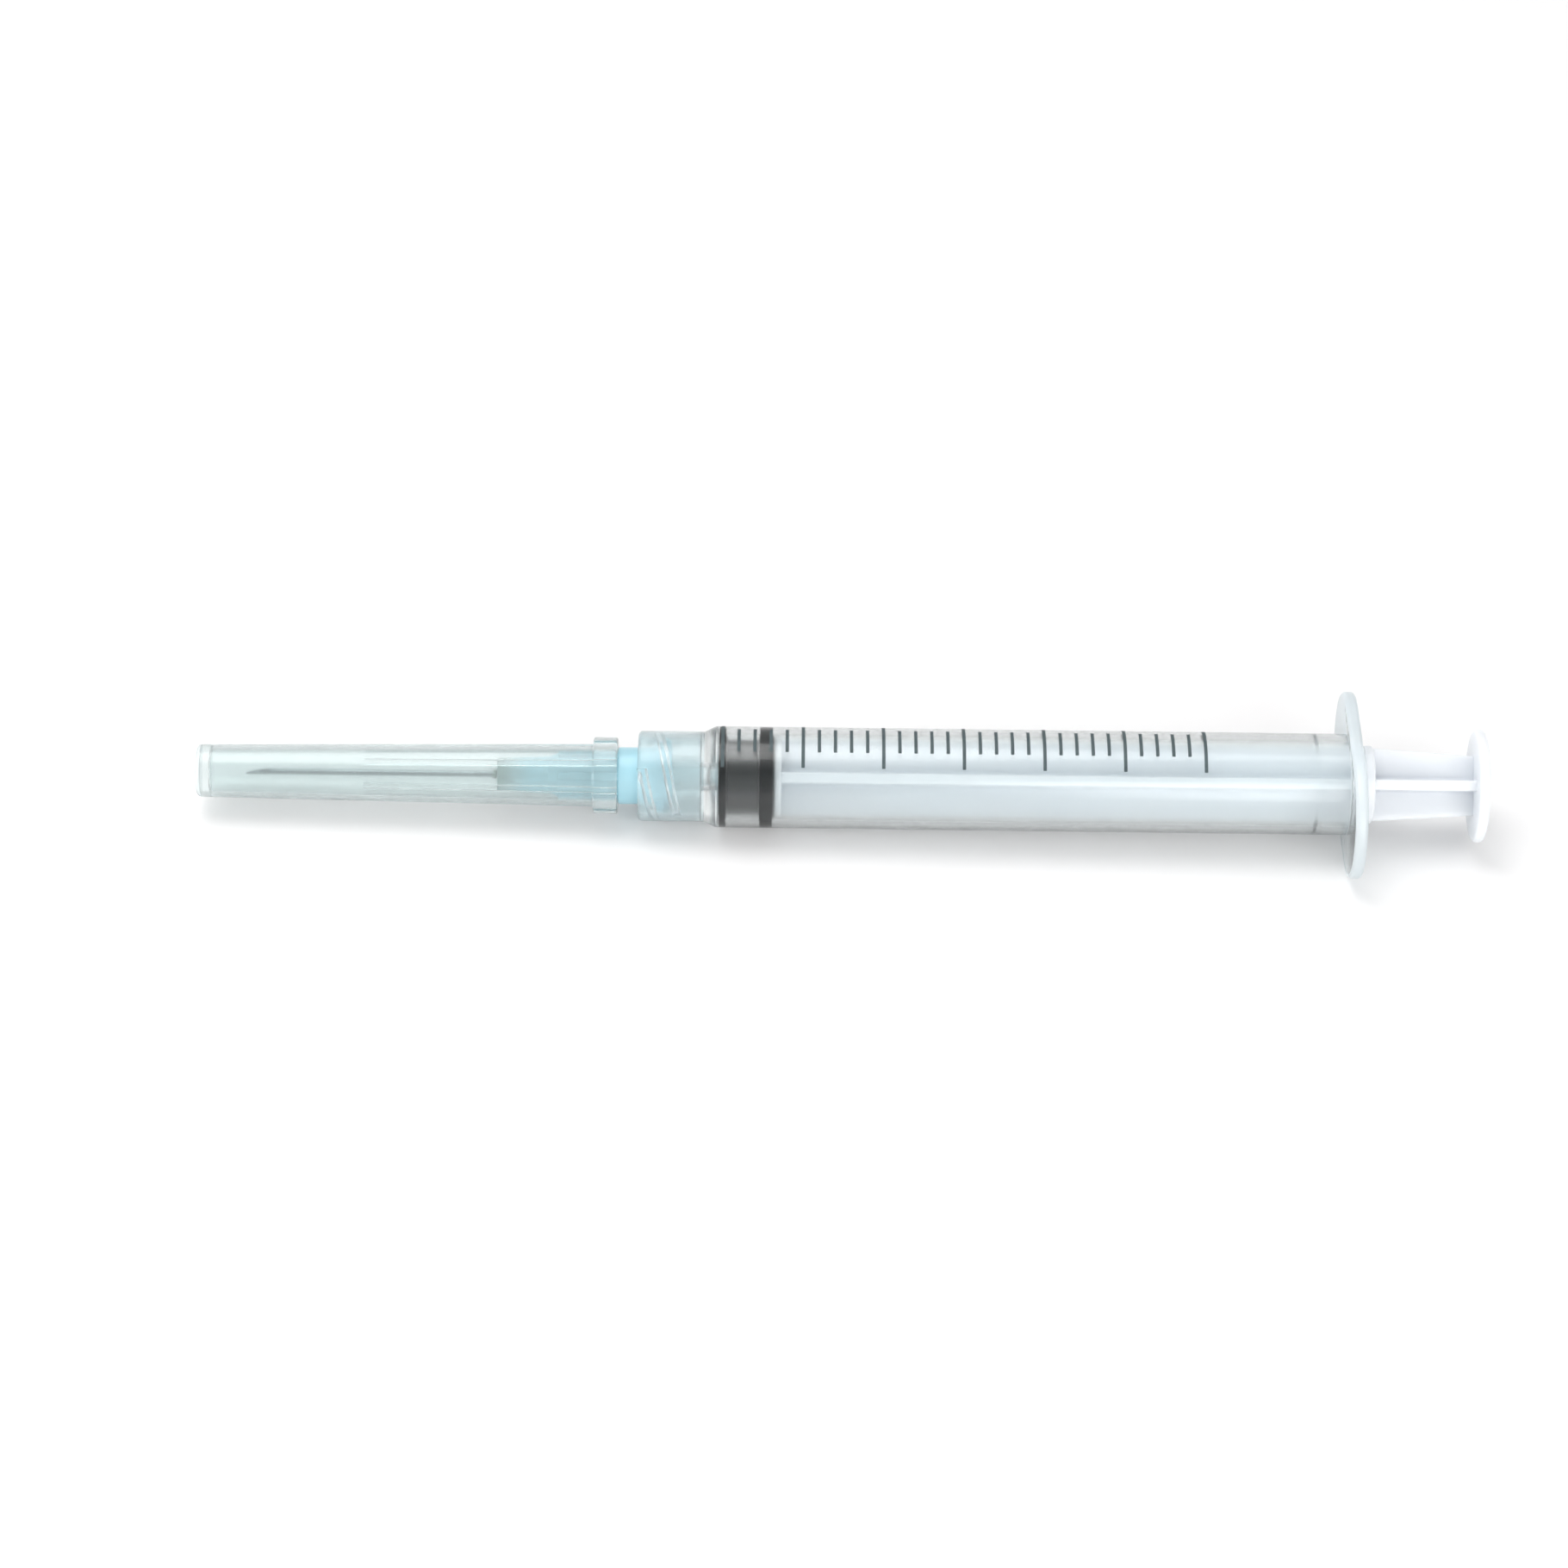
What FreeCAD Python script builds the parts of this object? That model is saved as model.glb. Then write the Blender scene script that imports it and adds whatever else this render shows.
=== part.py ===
import FreeCAD, Part
import math
import os

# A three millilitre Luer-lock syringe with a sheathed needle, its plunger pressed home.
# Millimetres. The origin is on the barrel's axis, at the front face of the finger flange.
# +X runs back along the axis to the thumb press, so the needle points along -X.
# The wings of the flange lie along Y, and +Z is up through the middle of the printed scale.

# Barrel
capacity_ml = 3.0
bore_dia = 8.76
barrel_wall = 0.87
full_mark_to_flange = 14.83
end_wall = 1.45
shoulder_length = 1.20
shoulder_setback = 0.20
mouth_flare = 0.35
bead_height = 0.12
bead_width = 0.90
bead_from_rear = 4.30
barrel_edge_bevel = 0.20

# Finger flange
flange_span = 23.0
flange_width = 13.0
flange_thickness = 1.30
flange_edge_bevel = 0.35

# Luer collar, its double thread and the male tip
collar_dia = 9.35
collar_depth = 6.60
collar_mouth_bevel = 0.40
thread_root_dia = 8.00
thread_crest_dia = 7.00
thread_lead = 5.00
thread_starts = 2
ridge_base_width = 1.00
ridge_crest_width = 0.40
thread_end_margin = 0.30
taper_on_diameter = 0.06
tip_length = 8.70
tip_end_dia = 3.94
tip_bore_dia = 2.00
tip_edge_bevel = 0.20

# Printed scale
marks_per_ml = 10
marks_per_long_mark = 5
mark_width = 0.35
long_mark_half_angle = 39.0
short_mark_half_angle = 20.0
ink_thickness = 0.03

# Stopper
stopper_length = 5.80
stopper_dome = 0.20
stopper_front_rib = 0.94
stopper_rear_rib = 1.60
stopper_waist_dia = 7.80
stopper_rib_bevel = 0.15

# Plunger rod
snap_neck_dia = 3.20
snap_neck_length = 1.30
snap_head_dia = 4.60
snap_head_length = 1.50
snap_head_land = 0.50
snap_head_point_dia = 3.00
front_disc_dia = 8.20
front_disc_thickness = 0.70
rib_width = 7.90
rib_thickness = 1.10
rib_root_bevel = 0.35
rib_edge_bevel = 0.15
disc_edge_bevel = 0.15
guide_disc_dia = 8.10
guide_disc_thickness = 1.00
guide_disc_standoff = 0.45
handle_length = 10.55
handle_root_width = 7.60
handle_end_width = 6.15
press_dia = 11.75
press_thickness = 1.10
press_edge_bevel = 0.30
rod_roll = 50.0

# Needle hub
hub_base_from_floor = 3.00
hub_neck_dia = 5.90
hub_neck_length = 5.70
hub_body_length = 6.20
hub_step_length = 1.00
hub_nose_root_dia = 3.80
hub_nose_end_dia = 3.40
hub_nose_length = 5.30
hub_cone_depth = 8.00
hub_throat_dia = 2.40
hub_throat_end_dia = 1.30
hub_throat_length = 2.40
hub_edge_bevel = 0.15
lug_dia = 7.80
lug_base_width = 0.90
lug_crest_width = 0.60
lug_sweep = 60.0
fin_width = 0.80
fin_count = 6

# Cannula and the glue that holds it
cannula_dia = 0.60
cannula_bore_dia = 0.33
cannula_reach = 26.20
cannula_socket = 6.00
bevel_angle = 12.0
well_depth = 1.80
well_end_dia = 2.30
well_root_dia = 1.40
glue_rise = 0.55
glue_slope_rise = 0.18
glue_rise_wall = 0.12

# Needle sheath
sheath_length = 43.70
sheath_tip_dia = 5.46
sheath_mouth_dia = 6.53
sheath_wall = 0.60
sheath_end_wall = 1.40
sheath_collar_dia = 7.92
sheath_collar_length = 2.50
sheath_tip_bevel = 0.40
sheath_edge_bevel = 0.20
sheath_rib_height = 0.25
sheath_rib_width = 0.60
sheath_rib_length = 26.20
sheath_rib_roll = 23.0

# Fits between pieces that move on each other
stopper_fit = 0.03
stopper_end_gap = 0.05
snap_fit = 0.05
luer_fit = 0.02
flank_fit = 0.05
fin_fit = 0.03
rib_fit = 0.06
glue_fit = 0.03
sheath_seat_gap = 0.05

# How deep a fused rib or ridge runs into the wall that carries it, as a share of that wall
sunk_share = 0.5

# Points nearer than this are one point
same_point = 1e-6

# Radii
bore_radius = bore_dia / 2
barrel_radius = bore_radius + barrel_wall
collar_radius = collar_dia / 2
thread_root_radius = thread_root_dia / 2
thread_crest_radius = thread_crest_dia / 2
tip_bore_radius = tip_bore_dia / 2
hub_neck_radius = hub_neck_dia / 2
lug_radius = lug_dia / 2
cannula_radius = cannula_dia / 2
taper_slope = taper_on_diameter / 2

# Stations along the axis, from the flange forward
ml_length = 1000.0 / (math.pi * bore_radius ** 2)
zero_mark_x = -full_mark_to_flange - capacity_ml * ml_length
stopper_front_x = zero_mark_x - stopper_front_rib / 2
stopper_rear_x = stopper_front_x + stopper_length
chamber_end_x = stopper_front_x - stopper_end_gap
shoulder_rear_x = chamber_end_x - shoulder_setback
shoulder_front_x = shoulder_rear_x - shoulder_length
collar_floor_x = chamber_end_x - stopper_dome - end_wall
collar_mouth_x = collar_floor_x - collar_depth
tip_end_x = collar_floor_x - tip_length
hub_base_x = collar_floor_x - hub_base_from_floor
hub_shoulder_x = hub_base_x - hub_neck_length
hub_step_x = hub_shoulder_x - hub_body_length
hub_nose_root_x = hub_step_x - hub_step_length
hub_nose_x = hub_nose_root_x - hub_nose_length
sheath_mouth_x = hub_shoulder_x - sheath_seat_gap
sheath_tip_x = sheath_mouth_x - sheath_length
cannula_tip_x = hub_nose_x - cannula_reach
cannula_back_x = hub_nose_x + cannula_socket

# Stations along the axis, from the flange back
barrel_rear_x = flange_thickness
guide_disc_x = barrel_rear_x + guide_disc_standoff
handle_x = guide_disc_x + guide_disc_thickness
press_x = handle_x + handle_length


def vec(x=0.0, y=0.0, z=0.0):
    return FreeCAD.Vector(x, y, z)


AXIS = vec(1, 0, 0)
SHARP = ("sharp", 0)


def rounded(radius):
    """Corner finish with a tangent arc."""
    return ("arc", radius)


def bevelled(reach):
    """Corner finish with a straight cut that starts the same reach from the corner both ways."""
    return ("line", reach)


def outline_wire(corners, place):
    """Closed wire through (u, v, finish) corners, each finished sharp, rounded or bevelled."""
    points = [place(u, v) for u, v, finish in corners]
    count = len(points)
    arrivals = []
    departures = []
    edges = []
    for i in range(count):
        corner = points[i]
        kind, size = corners[i][2]
        if kind == "sharp":
            arrivals.append(corner)
            departures.append(corner)
            continue
        back = (points[i - 1] - corner).normalize()
        ahead = (points[(i + 1) % count] - corner).normalize()
        half = back.getAngle(ahead) / 2
        reach = size / math.tan(half) if kind == "arc" else size
        arrivals.append(corner + back * reach)
        departures.append(corner + ahead * reach)
        if kind == "line":
            edges.append(Part.makeLine(arrivals[i], departures[i]))
            continue
        bisector = (back + ahead).normalize()
        middle = corner + bisector * (size / math.sin(half) - size)
        edges.append(Part.Arc(arrivals[i], middle, departures[i]).toShape())
    for i in range(count):
        start = departures[i]
        end = arrivals[(i + 1) % count]
        if start.distanceToPoint(end) > same_point:
            edges.append(Part.makeLine(start, end))
    return Part.Wire(Part.__sortEdges__(edges))


def revolved(corners):
    """Solid of revolution about the axis from (x, radius, finish) corners."""
    wire = outline_wire(corners, lambda x, radius: vec(x, 0, radius))
    return Part.Face(wire).revolve(vec(), AXIS, 360)


def frustum(x1, radius1, x2, radius2):
    """Solid cone or cylinder about the axis between two stations."""
    return revolved([(x1, 0, SHARP), (x1, radius1, SHARP), (x2, radius2, SHARP), (x2, 0, SHARP)])


def section_wire(corners, x):
    """Closed wire across the axis at station x from (y, z, finish) corners."""
    return outline_wire(corners, lambda y, z: vec(x, y, z))


def rotated_copies(shape, count, roll):
    """Fused copies of a shape, spaced evenly about the axis from a first roll angle."""
    copies = []
    for i in range(count):
        copy = shape.copy()
        copy.rotate(vec(), AXIS, roll + 360.0 * i / count)
        copies.append(copy)
    return copies[0].multiFuse(copies[1:])


def radial_plates(x1, x2, reach, width, count, roll):
    """Thin plates that stand out from the axis, spaced evenly round it."""
    plate = Part.makeBox(x2 - x1, width, reach, vec(x1, -width / 2, 0))
    return rotated_copies(plate, count, roll)


def tip_radius(x):
    """Outside radius of the male taper at a station."""
    return tip_end_dia / 2 + taper_slope * (x - tip_end_x)


def cone_radius(x):
    """Inside radius of the hub's matching taper at a station."""
    return tip_radius(x) + luer_fit


def sheath_radius(x):
    """Outside radius of the sheath's long taper at a station."""
    share = (x - sheath_tip_x) / sheath_length
    return (sheath_tip_dia + share * (sheath_mouth_dia - sheath_tip_dia)) / 2


def sheath_bore_radius(x):
    return sheath_radius(x) - sheath_wall


def hub_core_radius(x):
    """Outside radius of the hub between its fins, clear of the sheath's ribs."""
    return sheath_bore_radius(x) - sheath_rib_height - rib_fit


def helical_band(root, crest, start_x, travel, roll):
    """Band that follows the thread, from (radius, axial width) at its root and its crest."""
    root_radius, root_width = root
    crest_radius, crest_width = crest
    path = Part.makeHelix(thread_lead, travel, root_radius)
    outline = [
        vec(root_radius, 0, -root_width / 2),
        vec(crest_radius, 0, -crest_width / 2),
        vec(crest_radius, 0, crest_width / 2),
        vec(root_radius, 0, root_width / 2),
        vec(root_radius, 0, -root_width / 2),
    ]
    band = path.makePipeShell([Part.makePolygon(outline)], True, True)
    band.rotate(vec(), vec(0, 1, 0), 90)
    band.rotate(vec(), AXIS, roll)
    band.translate(vec(start_x, 0, 0))
    return band


def ridge_width_at(radius):
    """Axial width of the collar's thread ridge at a radius."""
    share = (thread_root_radius - radius) / (thread_root_radius - thread_crest_radius)
    return ridge_base_width + share * (ridge_crest_width - ridge_base_width)


def collar_thread():
    """Right-hand ridges inside the collar, trimmed square at the mouth and near the floor."""
    sunk = sunk_share * (collar_radius - thread_root_radius)
    root = (thread_root_radius + sunk, ridge_width_at(thread_root_radius + sunk))
    crest = (thread_crest_radius, ridge_crest_width)
    start_x = collar_mouth_x - thread_lead / thread_starts
    travel = collar_depth + 2 * thread_lead / thread_starts
    ridge = helical_band(root, crest, start_x, travel, 0)
    ridges = rotated_copies(ridge, thread_starts, 0)
    low_x = collar_mouth_x + thread_end_margin
    high_x = hub_base_x + thread_end_margin
    return ridges.common(frustum(low_x, root[0], high_x, root[0]))


def hub_lugs():
    """Two lugs that lie behind the ridges, so that turning the hub draws it on."""
    sunk = sunk_share * (hub_neck_radius - cone_radius(hub_base_x))
    root = (hub_neck_radius - sunk, lug_base_width)
    crest = (lug_radius, lug_crest_width)
    travel = thread_lead * lug_sweep / 360.0
    start_x = hub_base_x - lug_base_width / 2 - travel
    behind = (ridge_width_at(lug_radius) + lug_crest_width) / 2 + flank_fit
    ridge_start_x = collar_mouth_x - thread_lead / thread_starts
    roll = (start_x - ridge_start_x - behind) * 360.0 / thread_lead
    lug = helical_band(root, crest, start_x, travel, roll)
    return rotated_copies(lug, thread_starts, 0)


def make_flange():
    """Flat plate with two rounded wings, before the bore goes through it."""
    half_span = flange_span / 2
    half_width = flange_width / 2
    corners = [
        (-half_span, -half_width, rounded(half_width)),
        (half_span, -half_width, rounded(half_width)),
        (half_span, half_width, rounded(half_width)),
        (-half_span, half_width, rounded(half_width)),
    ]
    plate = Part.Face(section_wire(corners, 0)).extrude(vec(flange_thickness, 0, 0))
    rims = [edge for edge in plate.Edges if edge.BoundBox.XLength < same_point]
    return plate.makeChamfer(flange_edge_bevel, rims)


def make_barrel():
    """Barrel, wings, Luer collar and male tip, moulded as one piece."""
    bead_x = barrel_rear_x - bead_from_rear
    body = revolved([
        (tip_end_x, tip_bore_radius, SHARP),
        (tip_end_x, tip_radius(tip_end_x), bevelled(tip_edge_bevel)),
        (collar_floor_x, tip_radius(collar_floor_x), SHARP),
        (collar_floor_x, thread_root_radius, SHARP),
        (collar_mouth_x, thread_root_radius, SHARP),
        (collar_mouth_x, collar_radius, bevelled(collar_mouth_bevel)),
        (shoulder_front_x, collar_radius, SHARP),
        (shoulder_rear_x, barrel_radius, SHARP),
        (barrel_rear_x, barrel_radius, SHARP),
        (barrel_rear_x, bore_radius + mouth_flare, SHARP),
        (barrel_rear_x - 2 * mouth_flare, bore_radius, SHARP),
        (bead_x + bead_width / 2, bore_radius, SHARP),
        (bead_x, bore_radius - bead_height, SHARP),
        (bead_x - bead_width / 2, bore_radius, SHARP),
        (chamber_end_x, bore_radius, bevelled(barrel_edge_bevel)),
        (chamber_end_x - stopper_dome, tip_bore_radius, SHARP),
    ])
    mouth_radius = bore_radius + mouth_flare
    hole = frustum(-flange_thickness, mouth_radius, 2 * flange_thickness, mouth_radius)
    return body.multiFuse([make_flange().cut(hole), collar_thread()]).removeSplitter()


def make_scale_print():
    """Ink marks round the top of the barrel, one for each tenth of a millilitre."""
    marks = []
    for i in range(int(round(capacity_ml * marks_per_ml)) + 1):
        x = zero_mark_x + i * ml_length / marks_per_ml
        half_angle = short_mark_half_angle
        if i % marks_per_long_mark == 0:
            half_angle = long_mark_half_angle
        corner = vec(x - mark_width / 2, 0, barrel_radius)
        strip = Part.makePlane(mark_width, ink_thickness, corner, vec(0, -1, 0), AXIS)
        strip.rotate(vec(), AXIS, -half_angle)
        marks.append(strip.revolve(vec(), AXIS, 2 * half_angle))
    return Part.makeCompound(marks)


def make_stopper():
    """Rubber stopper with two sealing ribs and an undercut socket for the rod's snap head."""
    rib_radius = bore_radius - stopper_fit
    waist_radius = stopper_waist_dia / 2
    neck_radius = snap_neck_dia / 2 + snap_fit
    socket_radius = snap_head_dia / 2 + snap_fit
    lip_x = stopper_rear_x - (snap_neck_length - 2 * snap_fit)
    socket_x = lip_x - snap_head_length - 2 * snap_fit
    return revolved([
        (stopper_front_x - stopper_dome, 0, SHARP),
        (stopper_front_x, rib_radius, bevelled(stopper_rib_bevel)),
        (stopper_front_x + stopper_front_rib, rib_radius, bevelled(stopper_rib_bevel)),
        (stopper_front_x + stopper_front_rib, waist_radius, bevelled(stopper_rib_bevel)),
        (stopper_rear_x - stopper_rear_rib, waist_radius, bevelled(stopper_rib_bevel)),
        (stopper_rear_x - stopper_rear_rib, rib_radius, bevelled(stopper_rib_bevel)),
        (stopper_rear_x, rib_radius, bevelled(stopper_rib_bevel)),
        (stopper_rear_x, neck_radius, SHARP),
        (lip_x, neck_radius, SHARP),
        (lip_x, socket_radius, SHARP),
        (socket_x, socket_radius, SHARP),
        (socket_x, 0, SHARP),
    ])


def cross_corners(width):
    """Corners of the rod's cross section, with rounded roots between the ribs."""
    reach = width / 2
    half = rib_thickness / 2
    arm = [
        (reach, -half, bevelled(rib_edge_bevel)),
        (reach, half, bevelled(rib_edge_bevel)),
        (half, half, bevelled(rib_root_bevel)),
    ]
    corners = []
    for turn in range(4):
        angle = math.radians(rod_roll + 90.0 * turn)
        for y, z, size in arm:
            across = y * math.cos(angle) - z * math.sin(angle)
            up = y * math.sin(angle) + z * math.cos(angle)
            corners.append((across, up, size))
    return corners


def make_plunger_rod():
    """Cross-ribbed rod with its snap head, front disc, guide disc and thumb press."""
    disc_x = stopper_rear_x + snap_fit
    ribs_x = disc_x + front_disc_thickness
    head_x = disc_x - snap_neck_length
    point_x = head_x - snap_head_length
    spine = revolved([
        (point_x, 0, SHARP),
        (point_x, snap_head_point_dia / 2, SHARP),
        (head_x - snap_head_land, snap_head_dia / 2, SHARP),
        (head_x, snap_head_dia / 2, SHARP),
        (head_x, snap_neck_dia / 2, SHARP),
        (disc_x, snap_neck_dia / 2, SHARP),
        (disc_x, front_disc_dia / 2, bevelled(disc_edge_bevel)),
        (ribs_x, front_disc_dia / 2, bevelled(disc_edge_bevel)),
        (ribs_x, 0, SHARP),
    ])
    guide_x = guide_disc_x + guide_disc_thickness
    guide_radius = guide_disc_dia / 2
    guide = revolved([
        (guide_disc_x, 0, SHARP),
        (guide_disc_x, guide_radius, bevelled(disc_edge_bevel)),
        (guide_x, guide_radius, bevelled(disc_edge_bevel)),
        (guide_x, 0, SHARP),
    ])
    press = revolved([
        (press_x, 0, SHARP),
        (press_x, press_dia / 2, bevelled(press_edge_bevel)),
        (press_x + press_thickness, press_dia / 2, bevelled(press_edge_bevel)),
        (press_x + press_thickness, 0, SHARP),
    ])
    cross = Part.Face(section_wire(cross_corners(rib_width), ribs_x))
    ribs = cross.extrude(vec(guide_disc_x - ribs_x, 0, 0))
    handle = Part.makeLoft([
        section_wire(cross_corners(handle_root_width), guide_x),
        section_wire(cross_corners(handle_end_width), press_x),
    ], True, True)
    return spine.multiFuse([ribs, guide, handle, press]).removeSplitter()


def make_needle_hub():
    """Hub with a tapered socket, two lugs, fins that key into the sheath and a glue well."""
    cone_end_x = hub_base_x - hub_cone_depth
    throat_end_x = cone_end_x - hub_throat_length
    well_x = hub_nose_x + well_depth
    body = revolved([
        (hub_base_x, cone_radius(hub_base_x), SHARP),
        (hub_base_x, hub_neck_radius, bevelled(hub_edge_bevel)),
        (hub_shoulder_x, hub_neck_radius, bevelled(hub_edge_bevel)),
        (hub_shoulder_x, hub_core_radius(hub_shoulder_x), SHARP),
        (hub_step_x, hub_core_radius(hub_step_x), bevelled(hub_edge_bevel)),
        (hub_nose_root_x, hub_nose_root_dia / 2, bevelled(hub_edge_bevel)),
        (hub_nose_x, hub_nose_end_dia / 2, bevelled(hub_edge_bevel)),
        (hub_nose_x, well_end_dia / 2, SHARP),
        (well_x, well_root_dia / 2, SHARP),
        (well_x, cannula_radius, SHARP),
        (cannula_back_x, cannula_radius, SHARP),
        (cannula_back_x, hub_throat_end_dia / 2, SHARP),
        (throat_end_x, hub_throat_end_dia / 2, SHARP),
        (cone_end_x, hub_throat_dia / 2, SHARP),
        (cone_end_x, cone_radius(cone_end_x), SHARP),
    ])
    crest = frustum(
        hub_step_x, sheath_bore_radius(hub_step_x) - fin_fit,
        hub_shoulder_x, sheath_bore_radius(hub_shoulder_x) - fin_fit,
    )
    core = frustum(
        hub_step_x, hub_core_radius(hub_step_x) - fin_fit,
        hub_shoulder_x, hub_core_radius(hub_shoulder_x) - fin_fit,
    )
    roll = sheath_rib_roll + 180.0 / fin_count
    plates = radial_plates(hub_step_x, hub_shoulder_x, sheath_mouth_dia, fin_width, fin_count, roll)
    fins = plates.common(crest.cut(core))
    return body.multiFuse([fins, hub_lugs()]).removeSplitter()


def make_cannula():
    """Steel tube with one bevel ground across its tip, open side up."""
    length = cannula_back_x - cannula_tip_x
    tube = Part.makeCylinder(cannula_radius, length, vec(cannula_tip_x, 0, 0), AXIS)
    bore = Part.makeCylinder(cannula_bore_dia / 2, length, vec(cannula_tip_x, 0, 0), AXIS)
    grind = Part.makeBox(length, 2 * cannula_dia, cannula_dia * 2)
    grind.translate(vec(-length, -cannula_dia, 0))
    grind.rotate(vec(), vec(0, 1, 0), -bevel_angle)
    bevel_length = cannula_dia / math.tan(math.radians(bevel_angle))
    grind.translate(vec(cannula_tip_x + bevel_length, 0, cannula_radius))
    return tube.cut(bore).cut(grind)


def make_cannula_adhesive():
    """Ring of cured glue in the hub's well, climbing a little way up the cannula."""
    well_x = hub_nose_x + well_depth - glue_fit
    inner = cannula_radius + glue_fit
    return revolved([
        (well_x, inner, SHARP),
        (well_x, well_root_dia / 2 - glue_fit, SHARP),
        (hub_nose_x, well_end_dia / 2 - glue_fit, SHARP),
        (hub_nose_x - glue_slope_rise, inner + glue_rise_wall, bevelled(glue_rise_wall)),
        (hub_nose_x - glue_rise, inner + glue_rise_wall, SHARP),
        (hub_nose_x - glue_rise, inner, SHARP),
    ])


def make_needle_sheath():
    """Closed tapered tube with a mouth collar and long ribs inside that key the hub."""
    inner_end_x = sheath_tip_x + sheath_end_wall
    collar_x = sheath_mouth_x - sheath_collar_length
    shell = revolved([
        (sheath_tip_x, 0, SHARP),
        (sheath_tip_x, sheath_radius(sheath_tip_x), bevelled(sheath_tip_bevel)),
        (collar_x, sheath_radius(collar_x), SHARP),
        (collar_x, sheath_collar_dia / 2, bevelled(sheath_edge_bevel)),
        (sheath_mouth_x, sheath_collar_dia / 2, bevelled(sheath_edge_bevel)),
        (sheath_mouth_x, sheath_bore_radius(sheath_mouth_x), SHARP),
        (inner_end_x, sheath_bore_radius(inner_end_x), bevelled(sheath_edge_bevel)),
        (inner_end_x, 0, SHARP),
    ])
    rib_x = sheath_mouth_x - sheath_rib_length
    deep_radius = sheath_bore_radius(rib_x)
    mouth_radius = sheath_bore_radius(sheath_mouth_x)
    sunk = sunk_share * sheath_wall
    ring_out = frustum(rib_x, deep_radius + sunk, sheath_mouth_x, mouth_radius + sunk)
    rise = sheath_rib_height
    ring_in = frustum(rib_x, deep_radius - rise, sheath_mouth_x, mouth_radius - rise)
    reach = sheath_mouth_dia
    plates = radial_plates(rib_x, sheath_mouth_x, reach, sheath_rib_width, fin_count, sheath_rib_roll)
    return shell.fuse(plates.common(ring_out.cut(ring_in))).removeSplitter()


MAKERS = {
    "barrel": make_barrel,
    "scale_print": make_scale_print,
    "stopper": make_stopper,
    "plunger_rod": make_plunger_rod,
    "needle_hub": make_needle_hub,
    "cannula": make_cannula,
    "cannula_adhesive": make_cannula_adhesive,
    "needle_sheath": make_needle_sheath,
}

os.makedirs("parts", exist_ok=True)
for node in MAKERS:
    shape = MAKERS[node]()
    shape.exportStep("parts/" + node + ".step")
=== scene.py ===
import logging
import math
from dataclasses import dataclass
from enum import Enum
from typing import Callable, ClassVar, Iterable, Sequence

import bmesh
import bpy
from mathutils import Matrix, Vector


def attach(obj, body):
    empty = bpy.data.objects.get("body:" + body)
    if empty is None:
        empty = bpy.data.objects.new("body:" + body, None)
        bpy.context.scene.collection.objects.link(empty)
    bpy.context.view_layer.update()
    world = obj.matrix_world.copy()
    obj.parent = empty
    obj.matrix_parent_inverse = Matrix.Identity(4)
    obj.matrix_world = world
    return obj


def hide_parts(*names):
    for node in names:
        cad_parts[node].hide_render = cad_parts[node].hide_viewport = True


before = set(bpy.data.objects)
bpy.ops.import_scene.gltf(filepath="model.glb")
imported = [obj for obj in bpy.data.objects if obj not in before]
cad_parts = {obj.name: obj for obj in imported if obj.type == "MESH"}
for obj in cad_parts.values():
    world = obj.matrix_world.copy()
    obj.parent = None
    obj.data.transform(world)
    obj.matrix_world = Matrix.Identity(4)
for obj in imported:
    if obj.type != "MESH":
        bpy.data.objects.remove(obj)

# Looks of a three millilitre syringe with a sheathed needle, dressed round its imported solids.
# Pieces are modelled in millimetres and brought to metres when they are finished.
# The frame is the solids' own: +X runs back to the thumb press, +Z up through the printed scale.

log = logging.getLogger("syringe")
MM = 0.001

Piece = bpy.types.Object
Material = bpy.types.Material
Tree = bpy.types.NodeTree
Node = bpy.types.Node
Socket = bpy.types.NodeSocket
Inputs = dict[str | int, object]

# How finely things are turned, how finely roundings are stepped, and the bend that still looks smooth.
TURNS = 144
ARC_STEP = math.radians(11)
SMOOTH_ANGLE = math.radians(32)
# In millimetres: how close points count as one or as near a place, and from where an edge is long.
WELD = 1e-4
NEAR = 0.02
LONG_EDGE = 1.0
PLASTIC_INDEX = 1.49


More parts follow.
